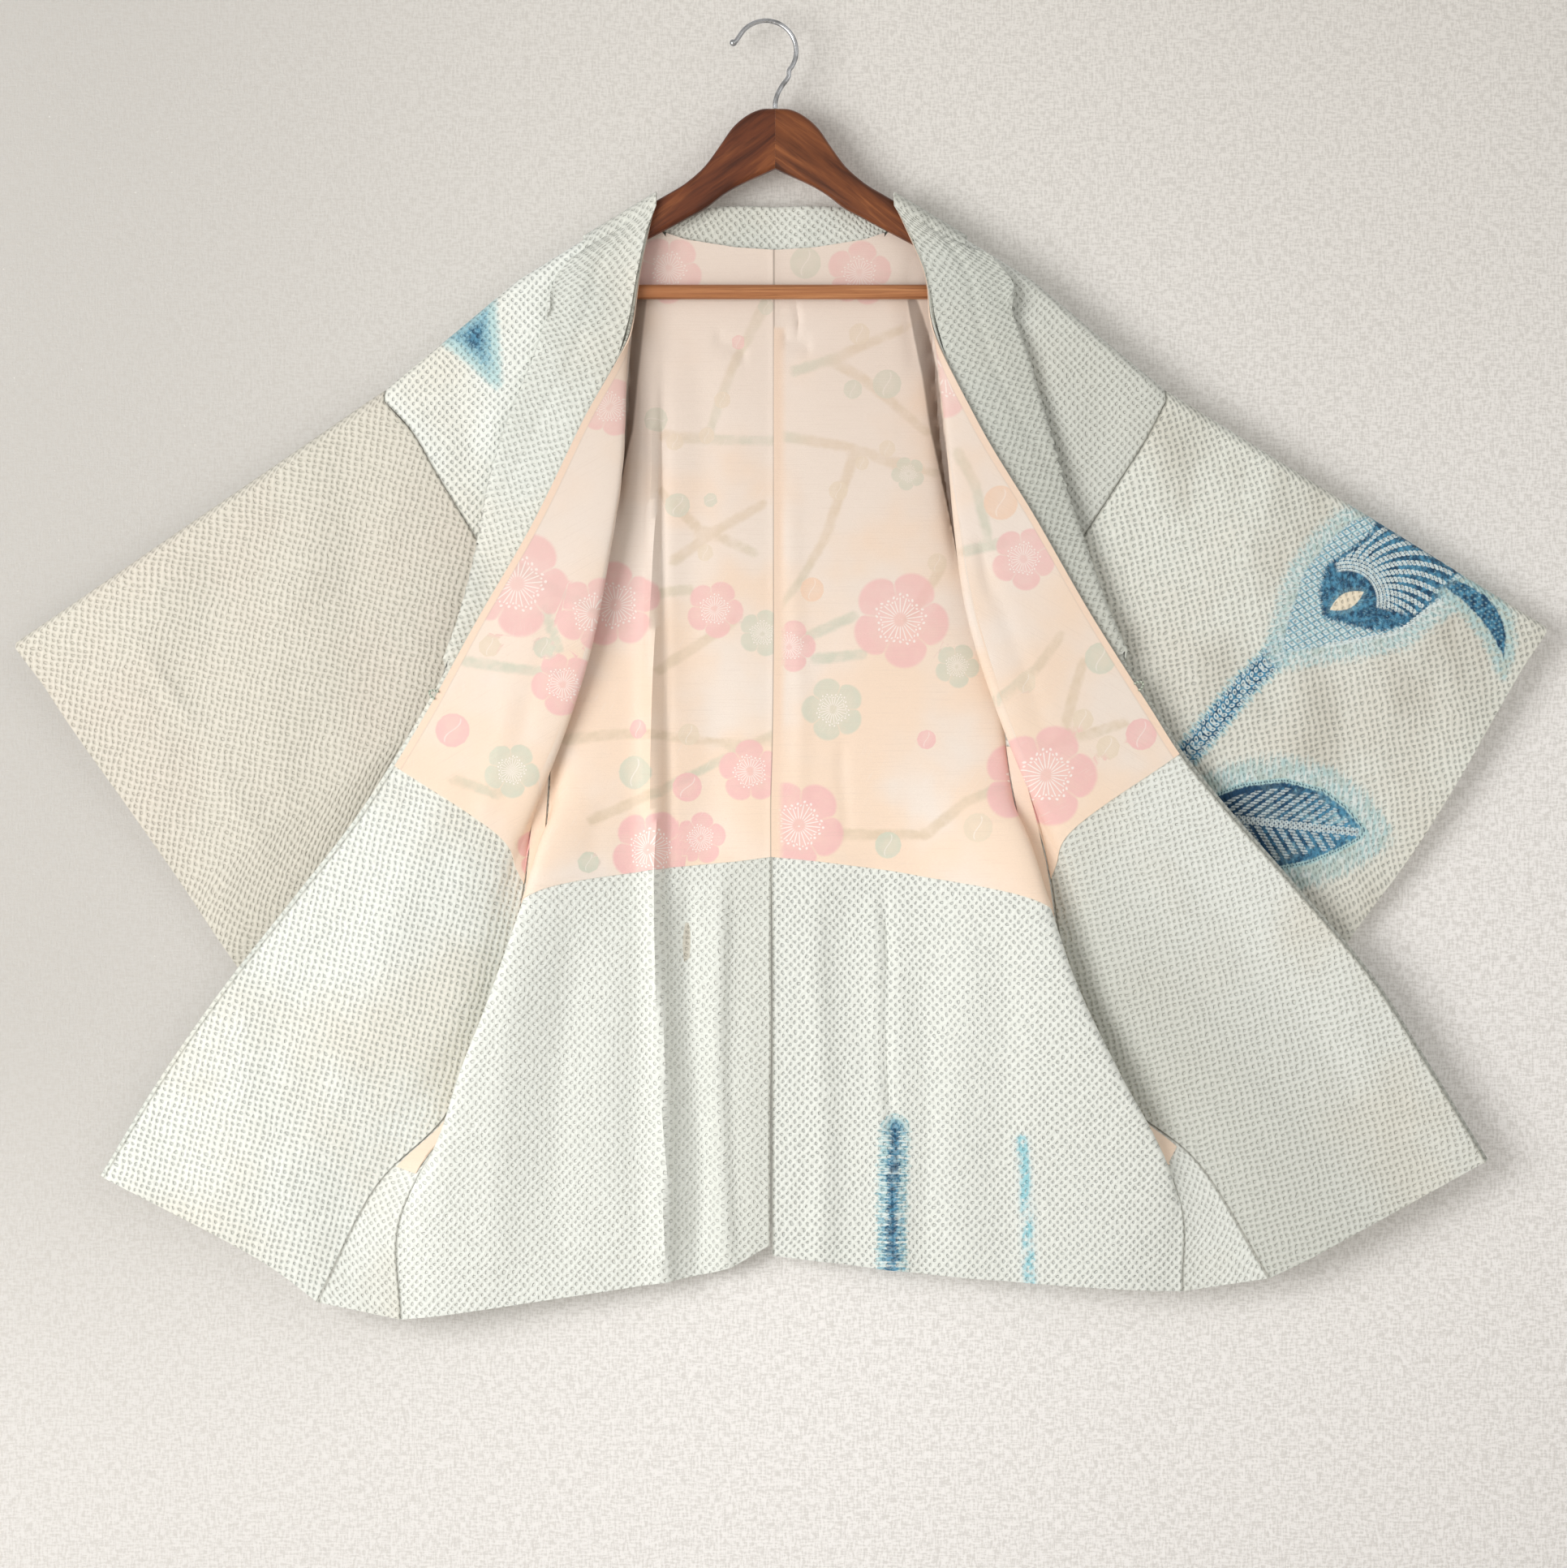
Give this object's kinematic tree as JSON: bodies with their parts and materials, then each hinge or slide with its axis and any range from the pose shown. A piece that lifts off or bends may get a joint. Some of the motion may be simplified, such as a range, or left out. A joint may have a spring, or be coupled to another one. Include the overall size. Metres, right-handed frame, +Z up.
{
  "type": "haori jacket on a clothes hanger",
  "caption": "Open haori jacket with wide square sleeves, a lined body and a turned-back collar, hanging flat on a wooden clothes hanger with a wire hook.",
  "frame": {"origin": "inner crown of the hanger's hook, where it rests on a rail or peg", "axes": "+X along the shoulders, towards the right sleeve as seen from the open front; +Y from the open front to the back; +Z up"},
  "size_m": [1.161, 0.048, 0.9846],
  "materials": {
    "silk": "matt silk with a raised tie-dye grain",
    "lining": "smooth satin silk, printed with small blossoms",
    "cord": "matt cord",
    "wood": "satin varnish",
    "steel": "plated wire"
  },
  "bodies": {
    "root": {"back_left": "silk", "back_right": "silk", "front_left": "silk", "front_right": "silk", "gusset_left": "silk", "gusset_right": "silk", "sleeve_left": "silk", "sleeve_right": "silk", "collar_left": "silk", "collar_right": "silk", "collar_neck": "silk", "lining_back_left": "lining", "lining_back_right": "lining", "lining_front_left": "lining", "lining_front_right": "lining", "lining_gusset_left": "lining", "lining_gusset_right": "lining", "tie_loop_left": "cord", "tie_loop_right": "cord", "hanger_arm_left": "wood", "hanger_arm_right": "wood", "hanger_bar": "wood", "hanger_hook": "steel"}
  },
  "joints": []
}
